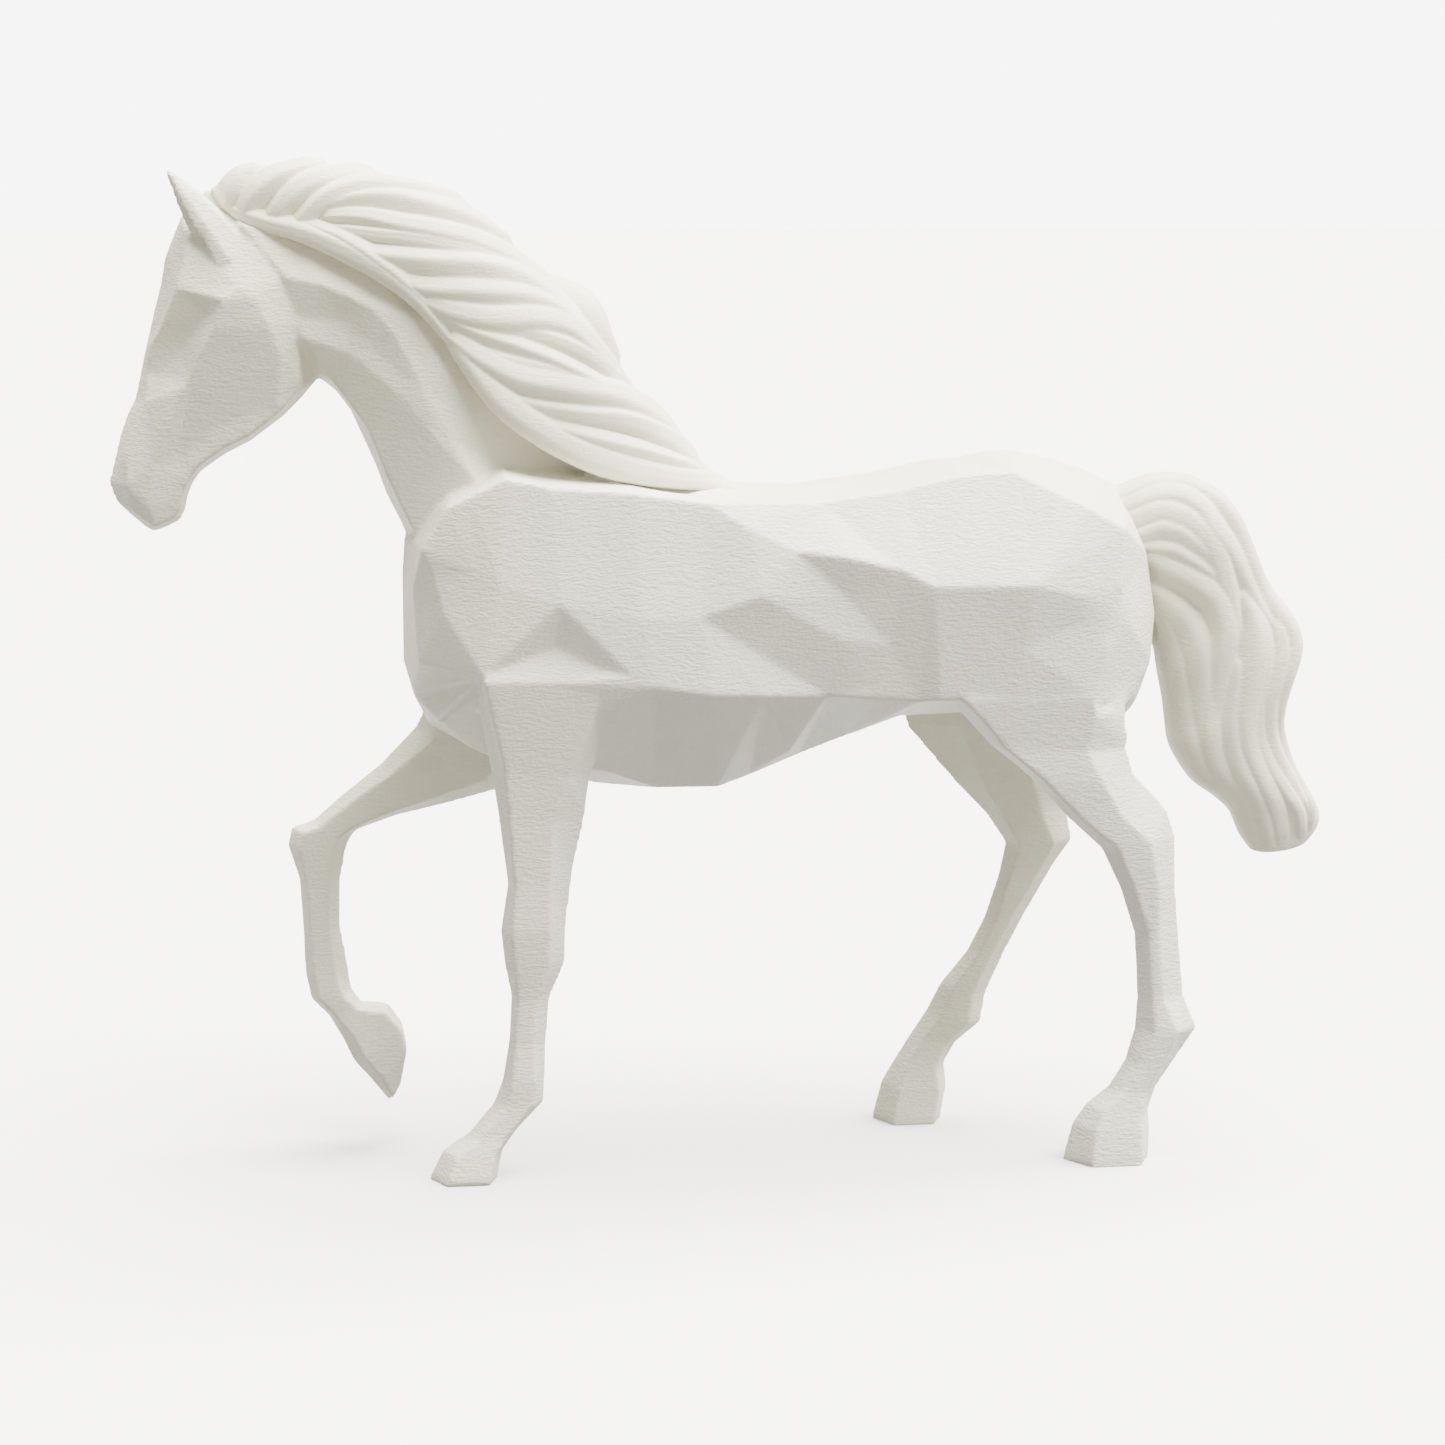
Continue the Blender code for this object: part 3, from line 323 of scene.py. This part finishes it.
# the mane in mm: each rib is its lower edge as x and z, its upper edge, and half its width
# there; each lock is half its width and the way it runs; height and halfWidth are its typical
# size, which shares out the faces; the zone is where the solid's plain hair under it is drawn in
mane = {
    "ribs": [
        (-101.3, 195.0, -103.9, 198.4, 4.5), (-97.9, 192.5, -100.3, 201.3, 7),
        (-92.5, 190.6, -94.0, 204.0, 9), (-85.8, 188.7, -85.7, 204.8, 11),
        (-78.7, 185.4, -76.9, 203.6, 12.8), (-72.0, 181.7, -67.0, 202.2, 14.2),
        (-65.7, 177.1, -58.1, 198.9, 15.6), (-59.6, 170.3, -50.2, 193.9, 16.8),
        (-53.9, 162.3, -42.9, 186.9, 17.8), (-48.1, 155.0, -35.9, 180.9, 18.6),
        (-41.3, 149.7, -27.9, 175.9, 19.2), (-33.4, 145.1, -22.9, 166.2, 19.2),
        (-25.4, 141.5, -16.2, 156.9, 18.2), (-16.1, 139.5, -9.3, 148.7, 15.5),
        (-7.6, 138.2, -4.4, 143.2, 11.0), (-2.2, 137.0, 0.2, 140.2, 7.0),
        (0.8, 136.6, 2.6, 138.6, 4.0),
    ],
    "height": 34.0, "halfWidth": 18.0, "lip": 0.07, "fullness": 0.9, "endShare": 0.02,
    "zoneFirst": 1, "zoneRoot": 0.0, "zoneLowest": 138.7,
    "meshAlong": 400, "meshAround": 232,
    "rise": 3.0, "sink": 1.2, "roundness": 0.9, "widen": 1.45, "taperLeast": 0.45,
    "strands": 2.2, "strandDepth": 0.12, "farShift": 1.6,
    "locks": [
        (2.1, [(-101.3, 195.4), (-99.9, 198.5), (-97.0, 201.6), (-93.3, 203.3)]),
        (2.2, [(-97.8, 193.5), (-95.8, 197.2), (-92.3, 200.4), (-86.7, 202.7), (-80.5, 204.6)]),
        (2.2, [(-92.5, 192.4), (-89.1, 196.6), (-85.1, 199.7), (-79.1, 201.6), (-71.0, 203.2)]),
        (2.2, [(-87.9, 190.8), (-83.9, 195.3), (-79.9, 197.9), (-74.0, 199.3), (-66.6, 199.0),
               (-58.0, 197.6), (-50.0, 195.5)]),
        (2.2, [(-82.7, 195.1), (-76.4, 197.2), (-68.6, 197.3), (-60.8, 195.5), (-52.8, 192.9),
               (-46.6, 189.7), (-38.0, 187.0)]),
        (2.2, [(-82.0, 193.9), (-74.6, 193.7), (-66.9, 192.0), (-59.1, 190.4), (-52.1, 188.5),
               (-45.0, 185.5), (-39.8, 182.6), (-31.0, 180.0)]),
        (1.7, [(-80.1, 191.4), (-72.8, 190.3), (-63.1, 189.1), (-55.2, 187.4), (-47.2, 184.4),
               (-40.0, 180.9), (-34.0, 177.0)]),
        (2.8, [(-76.7, 187.4), (-71.0, 185.8), (-61.3, 184.6), (-51.4, 183.7), (-43.3, 181.2),
               (-37.3, 177.2), (-32.5, 172.0), (-29.7, 168.0)]),
        (2.8, [(-71.0, 183.1), (-63.3, 179.8), (-53.5, 179.0), (-43.5, 178.0), (-36.4, 175.7),
               (-31.6, 171.4), (-26.5, 165.9)]),
        (2.8, [(-65.3, 179.2), (-58.5, 175.7), (-49.7, 173.7), (-40.7, 173.5), (-33.6, 171.8),
               (-28.6, 167.4), (-22.3, 161.2)]),
        (1.6, [(-47.8, 171.4), (-40.8, 170.5), (-33.9, 168.2), (-27.7, 164.7), (-20.2, 159.2)]),
        (2.0, [(-60.5, 174.6), (-52.7, 171.0), (-44.9, 168.2), (-37.0, 165.0), (-29.0, 160.9),
               (-19.5, 156.1), (-15.3, 152.7)]),
        (3.0, [(-57.7, 170.5), (-51.9, 166.0), (-44.1, 162.0), (-34.2, 159.9), (-23.9, 157.6),
               (-15.2, 153.1), (-9.7, 148.4)]),
        (1.8, [(-53.8, 168.5), (-46.0, 165.2), (-36.1, 162.7), (-28.0, 160.1), (-19.4, 156.5)]),
        (2.1, [(-50.0, 160.1), (-42.2, 156.8), (-32.3, 154.9), (-22.0, 153.3), (-12.3, 149.1),
               (-6.4, 145.1)]),
        (2.0, [(-45.8, 156.2), (-38.3, 152.8), (-28.4, 149.7), (-18.1, 146.9), (-7.2, 143.4)]),
        (3.3, [(-58.1, 169.1), (-53.5, 162.9), (-47.5, 157.0), (-39.7, 151.1), (-29.0, 145.8),
               (-17.2, 142.4), (-4.0, 140.4)]),
        (2.4, [(-99.7, 194.6), (-93.6, 192.3), (-86.3, 190.4), (-78.7, 187.4), (-72.0, 183.5),
               (-66.2, 179.0), (-61.5, 173.8), (-57.3, 168.0)]),
        (2.2, [(-86.3, 192.4), (-79.6, 189.7), (-73.8, 186.2), (-68.1, 182.1), (-63.4, 177.7),
               (-59.6, 173.0)]),
        (2.4, [(-37.7, 181.3), (-31.9, 178.7), (-28.5, 175.0), (-25.8, 169.6), (-22.4, 164.9)]),
    ],
}
manePiece = hairPiece("mane", mane, hairResin)

# the tail in the same way, from its inner edge towards the legs to its outer edge
tail = {
    "ribs": [
        (80.0, 121.5, 77.5, 136.6, 6.5), (83.0, 118.6, 83.8, 138.9, 8.4),
        (84.0, 115.1, 90.6, 139.8, 9.2), (85.4, 111.0, 97.9, 138.6, 9.6),
        (87.2, 106.6, 104.8, 134.3, 9.6), (89.8, 103.3, 109.3, 125.3, 9.2),
        (90.8, 98.1, 112.4, 116.9, 9.2), (92.0, 92.8, 119.3, 108.8, 9.0),
        (92.7, 87.5, 121.2, 102.0, 8.8), (93.5, 83.3, 118.6, 94.0, 8.6),
        (96.3, 79.0, 116.8, 87.3, 8.2), (98.8, 75.9, 118.4, 80.2, 7.8),
        (103.3, 72.7, 121.8, 74.2, 7.2), (106.8, 69.1, 125.4, 69.6, 6.4),
        (108.9, 63.7, 125.5, 64.9, 5.2), (111.4, 59.3, 121.5, 60.5, 3.6),
    ],
    "height": 22.0, "halfWidth": 9.0, "lip": 0.0, "fullness": 0.85, "endShare": 0.025,
    "zoneFirst": 2, "zoneRoot": 5.0, "zoneLowest": 0.0,
    "meshAlong": 380, "meshAround": 200,
    "rise": 2.0, "sink": 0.6, "roundness": 0.95, "widen": 1.6, "taperLeast": 0.5,
    "strands": 1.6, "strandDepth": 0.08, "farShift": 1.4,
    "locks": [
        (1.9, [(77.5, 135.2), (82.8, 136.8), (87.2, 138.5), (93.3, 138.7), (98.3, 136.5),
               (102.3, 133.2), (105.4, 128.4), (107.6, 123.2), (109.8, 118.5), (113.0, 113.6),
               (116.3, 109.1), (117.8, 104.3), (116.5, 99.3), (115.0, 93.4), (114.8, 88.1),
               (116.8, 82.3), (119.6, 76.4), (122.7, 71.2), (122.7, 66.0)]),
        (2.2, [(77.8, 132.8), (82.8, 134.7), (87.6, 136.3), (92.6, 136.1), (96.6, 133.5),
               (99.1, 129.4), (101.7, 126.3), (105.1, 121.6), (107.5, 117.2), (110.2, 112.9),
               (113.0, 108.8)]),
        (2.4, [(78.7, 130.2), (83.7, 131.7), (88.3, 132.9), (93.3, 131.3), (97.3, 127.9),
               (100.1, 123.7), (101.8, 118.5), (103.2, 112.3), (104.1, 107.1)]),
        (2.0, [(79.5, 127.4), (84.7, 128.4), (88.2, 129.5), (92.2, 128.3), (95.6, 125.7),
               (98.8, 122.7), (101.0, 119.0)]),
        (1.6, [(81.0, 125.6), (86.2, 125.6), (90.6, 125.0), (94.6, 122.8), (98.4, 120.1),
               (101.9, 116.9)]),
        (2.2, [(81.5, 124.0), (86.4, 123.3), (89.4, 121.5), (93.3, 119.5), (97.4, 116.8),
               (100.6, 113.6), (102.0, 108.2), (101.3, 102.0), (100.5, 93.5), (100.5, 85.1),
               (102.5, 77.5)]),
        (2.6, [(84.2, 117.2), (88.7, 114.1), (91.7, 111.2), (95.1, 106.1), (96.7, 97.7),
               (97.5, 89.2), (98.8, 81.7), (101.7, 75.0)]),
        (2.4, [(86.6, 116.0), (90.1, 110.0), (92.4, 102.7), (94.3, 93.2), (95.9, 83.7),
               (99.1, 77.1), (104.4, 72.0), (108.5, 65.9), (110.9, 60.3)]),
        (2.8, [(105.7, 116.3), (108.6, 110.0), (109.0, 103.9), (107.8, 96.6), (106.8, 89.3),
               (107.7, 82.9), (110.8, 76.4), (114.0, 69.8), (115.7, 63.1)]),
        (1.6, [(110.9, 108.9), (111.2, 103.8), (110.6, 98.6), (109.3, 92.3), (109.8, 86.0),
               (112.1, 80.1), (116.0, 74.4), (119.5, 69.1), (120.8, 63.9)]),
        (1.8, [(112.6, 111.4), (114.7, 105.6), (114.0, 99.5), (112.2, 93.2), (112.2, 87.2),
               (114.3, 81.4), (117.9, 75.8), (121.0, 70.5)]),
        (2.4, [(105.1, 101.9), (104.5, 94.6), (104.1, 87.2), (105.7, 79.7), (109.4, 73.1),
               (112.5, 66.4), (113.6, 60.8)]),
        (2.2, [(97.7, 106.2), (98.7, 97.7), (99.2, 89.3), (100.5, 81.8), (104.3, 75.3),
               (108.7, 69.0), (111.2, 62.9)]),
    ],
}
tailPiece = hairPiece("tail", tail, hairResin)

# the faceted body in mm: a copy of the solid with its edges softened
body = {
    "merge": 0.002,
    "voxel": 0.55,
    "smoothing": 2,
    "softness": 0.5,
    "triangles": 190000,
    "hairInset": 3.6,
    "hairEdge": 1.6,
    "hairOutset": 6.0,
    "zoneSteps": 60,
    "rootShare": 0.3,
    "rumpEnd": 88.0,
    "rumpHalfWidth": 9.6,
    "rumpEdge": 2.0,
    "thighCreases": [(80.9, 94.5), (72.8, 114.0)],
    "creaseReach": 6.0,
    "easing": 90,
}


def hairZone(hair):
    # outline of the hair in the side view: from its inner edge, where its root reaches into
    # the body by zoneRoot, to well beyond its outer edge and its tip
    inner = []
    outer = []
    steps = body["zoneSteps"]
    for step, rib in enumerate(curve(hair["ribs"], np.linspace(0.0, 1.0, steps + 1))):
        low, high = Vector(rib[0:2]), Vector(rib[2:4])
        up = (high - low).normalized()
        inside = hair["zoneRoot"] * max(0.0, 1.0 - step / (body["rootShare"] * steps))
        if step >= hair["zoneFirst"]:
            inner.append(low + up * inside)
            outer.append(high + up * body["hairOutset"])
    ahead = (inner[-1] + outer[-1] - inner[-2] - outer[-2]).normalized() * body["hairOutset"]
    zone = inner + [inner[-1] + ahead, outer[-1] + ahead] + outer[::-1]
    return np.array([(corner.x, max(corner.y, hair["zoneLowest"])) for corner in zone])


def depthInside(points, zone):
    # how far each point lies inside the outline, and 0 outside it
    inside = np.zeros(len(points), bool)
    depth = np.full(len(points), farAway)
    x, z = points[:, 0], points[:, 1]
    for (x0, z0), (x1, z1) in zip(zone, np.roll(zone, -1, axis=0)):
        if z0 != z1:
            inside ^= ((z0 > z) != (z1 > z)) & (x < (x1 - x0) * (z - z0) / (z1 - z0) + x0)
        runX, runZ = x1 - x0, z1 - z0
        t = ((x - x0) * runX + (z - z0) * runZ) / max(runX ** 2 + runZ ** 2, tiny)
        t = np.clip(t, 0.0, 1.0)
        depth = np.minimum(depth, np.hypot(x - x0 - t * runX, z - z0 - t * runZ))
    return np.where(inside, depth, 0.0)


def bodyPiece():
    bm = bmesh.new()
    bm.from_mesh(horse.data)
    bmesh.ops.remove_doubles(bm, verts=bm.verts, dist=body["merge"] * mm)
    mesh = settled("body", bm, [
        ("REMESH", {"mode": "VOXEL", "voxel_size": body["voxel"] * mm}),
        ("SMOOTH", {"factor": body["softness"], "iterations": body["smoothing"]})])
    bm = bmesh.new()
    bm.from_mesh(mesh)
    bpy.data.meshes.remove(mesh)
    # the plain hair of the solid is drawn in, so that it lies under the carved mane and tail
    points = np.array([vert.co[:] for vert in bm.verts]) / mm
    normals = np.array([vert.normal[:] for vert in bm.verts])
    fromRump = (body["rumpHalfWidth"] - np.abs(points[:, 1])) / body["rumpEdge"]
    besideRump = np.where(points[:, 0] > body["rumpEnd"], 1.0, np.clip(fromRump, 0.0, 1.0))
    drawn = np.zeros(len(points))
    for hair, share in ((mane, 1.0), (tail, besideRump)):
        depth = depthInside(points[:, (0, 2)], hairZone(hair))
        drawn = np.maximum(drawn, np.clip(depth / body["hairEdge"], 0.0, 1.0) * share)
    points -= normals * (drawn * body["hairInset"])[:, None]
    for vert, point in zip(bm.verts, points):
        vert.co = point * mm
    # the sharp creases behind the thighs are eased
    near = np.zeros(len(points), bool)
    for creaseX, creaseZ in body["thighCreases"]:
        reach = np.hypot(points[:, 0] - creaseX, points[:, 2] - creaseZ)
        near |= reach < body["creaseReach"]
    creased = [vert for vert, close in zip(bm.verts, near) if close]
    for turn in range(body["easing"]):
        bmesh.ops.smooth_vert(bm, verts=creased, factor=body["softness"], use_axis_x=True,
                              use_axis_y=True, use_axis_z=True)
    softened = sum(len(face.verts) - 2 for face in bm.faces)
    mesh = settled("body", bm, [
        ("DECIMATE", {"ratio": min(1.0, body["triangles"] / softened)})])
    for polygon in mesh.polygons:
        polygon.use_smooth = True
    print("body triangles", triangleCount(mesh))
    return newObject("body", mesh, bodyResin)


horsePiece = bodyPiece()

for piece in (horsePiece, manePiece, tailPiece):
    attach(piece, "root")
    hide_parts("horse")
print("pieces ready")

# pale seamless paper that the figure stands on; its size is in metres and its fibre in mm
floor = {
    "size": 6.0, "squares": 4, "tone": "#F8F9FF", "toneVaried": "#F4F5FC",
    "fibre": 1.5, "fibreDetail": 3.0, "roughness": 0.8,
}
paper, paperTree, paperShader = newMaterial("backdropPaper")
paperPlace = addNode(paperTree, "ShaderNodeTexCoord").outputs["Object"]
paperFibre = addNode(paperTree, "ShaderNodeTexNoise", {}, {
    "Vector": paperPlace, "Scale": 1.0 / (floor["fibre"] * mm),
    "Detail": floor["fibreDetail"]})
paperTone = addNode(paperTree, "ShaderNodeMix", {"data_type": "RGBA"}, {
    0: paperFibre.outputs["Fac"], 6: linear(floor["tone"]), 7: linear(floor["toneVaried"])})
paperTree.links.new(paperTone.outputs[2], paperShader.inputs["Base Color"])
paperShader.inputs["Roughness"].default_value = floor["roughness"]
bm = bmesh.new()
bmesh.ops.create_grid(bm, x_segments=floor["squares"], y_segments=floor["squares"],
                      size=floor["size"])
mesh = bpy.data.meshes.new("floor")
bm.to_mesh(mesh)
bm.free()
floorPiece = newObject("floor", mesh, paper)
floorPiece.visible_diffuse = False

# studio: a surround that is brighter overhead, and one broad soft light from above and behind;
# the backdrop that the camera sees is plain white
studio = {
    "light": "#FFFCEE", "backdrop": "#FFFFFF", "backdropLight": 7.6,
    "surroundLow": 0.64, "surroundHigh": 0.78, "lowHeight": -0.4, "highHeight": 0.7,
    "sunPower": 25.5, "sunAngle": 74.0, "sunFrom": (0.36, 0.0, 1.0),
}
world = bpy.data.worlds.new("studio")
world.use_nodes = True
worldTree = world.node_tree
background = worldTree.nodes["Background"]
path = addNode(worldTree, "ShaderNodeLightPath")
direction = addNode(worldTree, "ShaderNodeTexCoord")
height = addNode(worldTree, "ShaderNodeSeparateXYZ", {}, {
    "Vector": direction.outputs["Generated"]})
surround = addNode(worldTree, "ShaderNodeMapRange", {}, {
    "Value": height.outputs["Z"],
    "From Min": studio["lowHeight"], "From Max": studio["highHeight"],
    "To Min": studio["surroundLow"], "To Max": studio["surroundHigh"]})
brightness = addNode(worldTree, "ShaderNodeMix", {"data_type": "FLOAT"}, {
    0: path.outputs["Is Camera Ray"], 2: surround.outputs["Result"], 3: studio["backdropLight"]})
tint = addNode(worldTree, "ShaderNodeMix", {"data_type": "RGBA"}, {
    0: path.outputs["Is Camera Ray"], 6: linear(studio["light"]), 7: linear(studio["backdrop"])})
worldTree.links.new(tint.outputs[2], background.inputs["Color"])
worldTree.links.new(brightness.outputs[0], background.inputs["Strength"])
bpy.context.scene.world = world
lamp = bpy.data.lights.new("softLight", "SUN")
lamp.energy = studio["sunPower"]
lamp.color = linear(studio["light"])[:3]
lamp.angle = math.radians(studio["sunAngle"])
lampObject = bpy.data.objects.new("softLight", lamp)
lampObject.location = Vector(studio["sunFrom"])
lampObject.rotation_euler = Vector(studio["sunFrom"]).to_track_quat("Z", "Y").to_euler()
bpy.context.scene.collection.objects.link(lampObject)

# the photo's point of view in degrees and metres, worked out from where the three soles stand
# in it; lens and sensor are in mm
view = {
    "azimuth": -8.0, "elevation": 9.0, "distance": 0.80, "target": (-0.00139, 0.0, 0.0898),
    "lens": 97.105, "sensor": 36.0,
}
azimuth, elevation = math.radians(view["azimuth"]), math.radians(view["elevation"])
back = Vector((math.sin(azimuth) * math.cos(elevation), -math.cos(azimuth) * math.cos(elevation),
               math.sin(elevation)))
cameraData = bpy.data.cameras.new("photoView")
cameraData.lens = view["lens"]
cameraData.sensor_width = view["sensor"]
cameraObject = bpy.data.objects.new("photoView", cameraData)
cameraObject.location = Vector(view["target"]) + back * view["distance"]
cameraObject.rotation_euler = (-back).to_track_quat("-Z", "Y").to_euler()
bpy.context.scene.collection.objects.link(cameraObject)
bpy.context.scene.camera = cameraObject
print("stage, light and camera ready")
